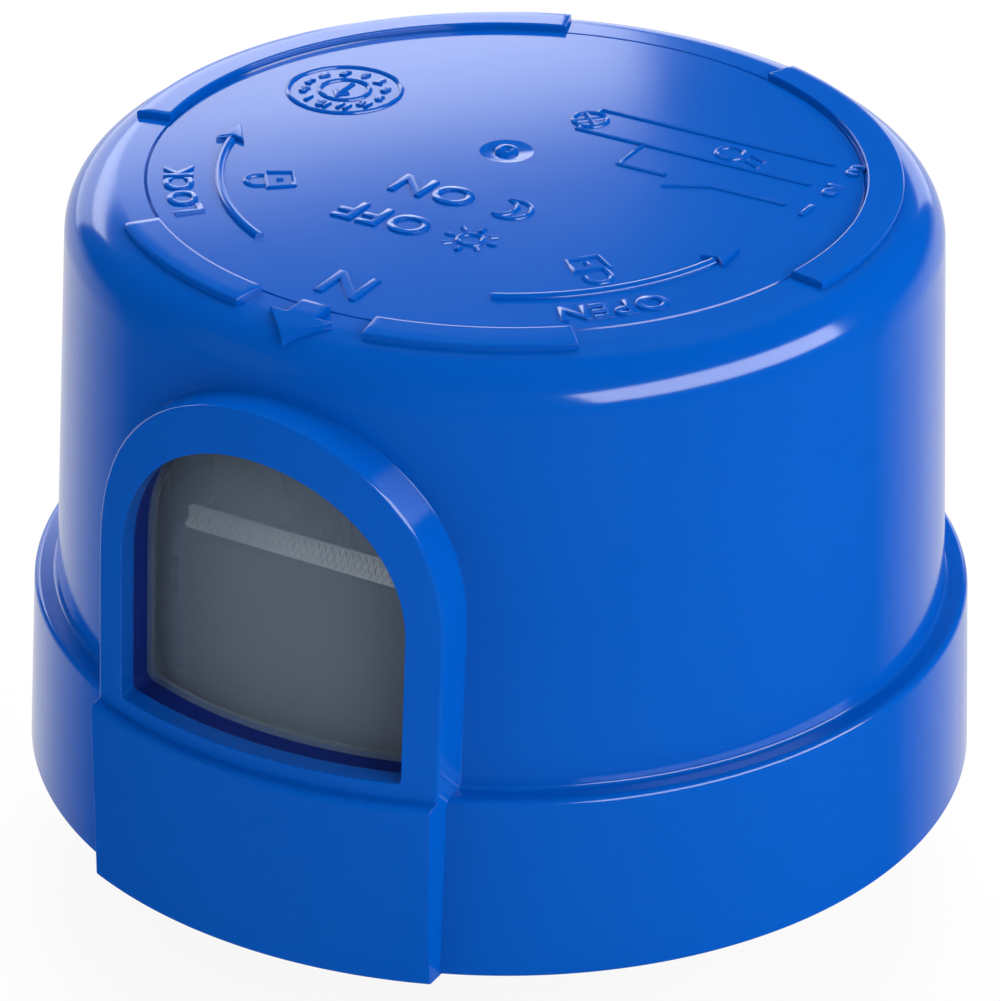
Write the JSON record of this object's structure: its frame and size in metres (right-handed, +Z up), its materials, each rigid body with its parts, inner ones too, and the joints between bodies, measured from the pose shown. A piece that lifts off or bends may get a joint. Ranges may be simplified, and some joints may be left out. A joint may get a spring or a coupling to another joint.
{
  "type": "photocell switch",
  "caption": "Round twist-lock photocell switch: drafted plastic cover with an arched side window, moulded base, sealing gasket and curved locking blades around a small relay circuit.",
  "frame": {"origin": "on the cover's axis, in the plane of the skirt's rim and of the gasket's seating face", "axes": "+Z up along the cover's axis away from the socket; the window and the north arrow face -Y"},
  "size_m": [0.084, 0.0857, 0.0667],
  "materials": {
    "blue_plastic": "semi-gloss moulded, ultraviolet-stable",
    "smoked_lens": "smoked clear moulding",
    "black_plastic": "satin moulded",
    "gasket_foam": "closed-cell foam rubber",
    "blade_brass": "stamped",
    "screw_steel": "zinc plated",
    "board_laminate": "solder resist",
    "relay_case": "moulded case",
    "cell_ceramic": "resin-coated ceramic disc",
    "arrester_coat": "epoxy coated",
    "capacitor_case": "moulded case",
    "capacitor_sleeve": "shrunk sleeve",
    "resistor_coat": "cement coated",
    "resistor_lacquer": "lacquered"
  },
  "bodies": {
    "root": {"cover": "blue_plastic", "window_lens": "smoked_lens", "base": "black_plastic", "gasket": "gasket_foam", "line_blade": "blade_brass", "load_blade": "blade_brass", "neutral_blade": "blade_brass", "cover_screws": "screw_steel", "circuit_board": "board_laminate", "board_screws": "screw_steel", "relay": "relay_case", "photocell": "cell_ceramic", "cell_holder": "black_plastic", "surge_arrester": "arrester_coat", "film_capacitor": "capacitor_case", "smoothing_capacitor": "capacitor_sleeve", "dropper_resistor": "resistor_coat", "rectifier_diodes": "black_plastic", "signal_resistors": "resistor_lacquer", "control_chip": "black_plastic", "driver_transistor": "black_plastic"}
  },
  "joints": []
}
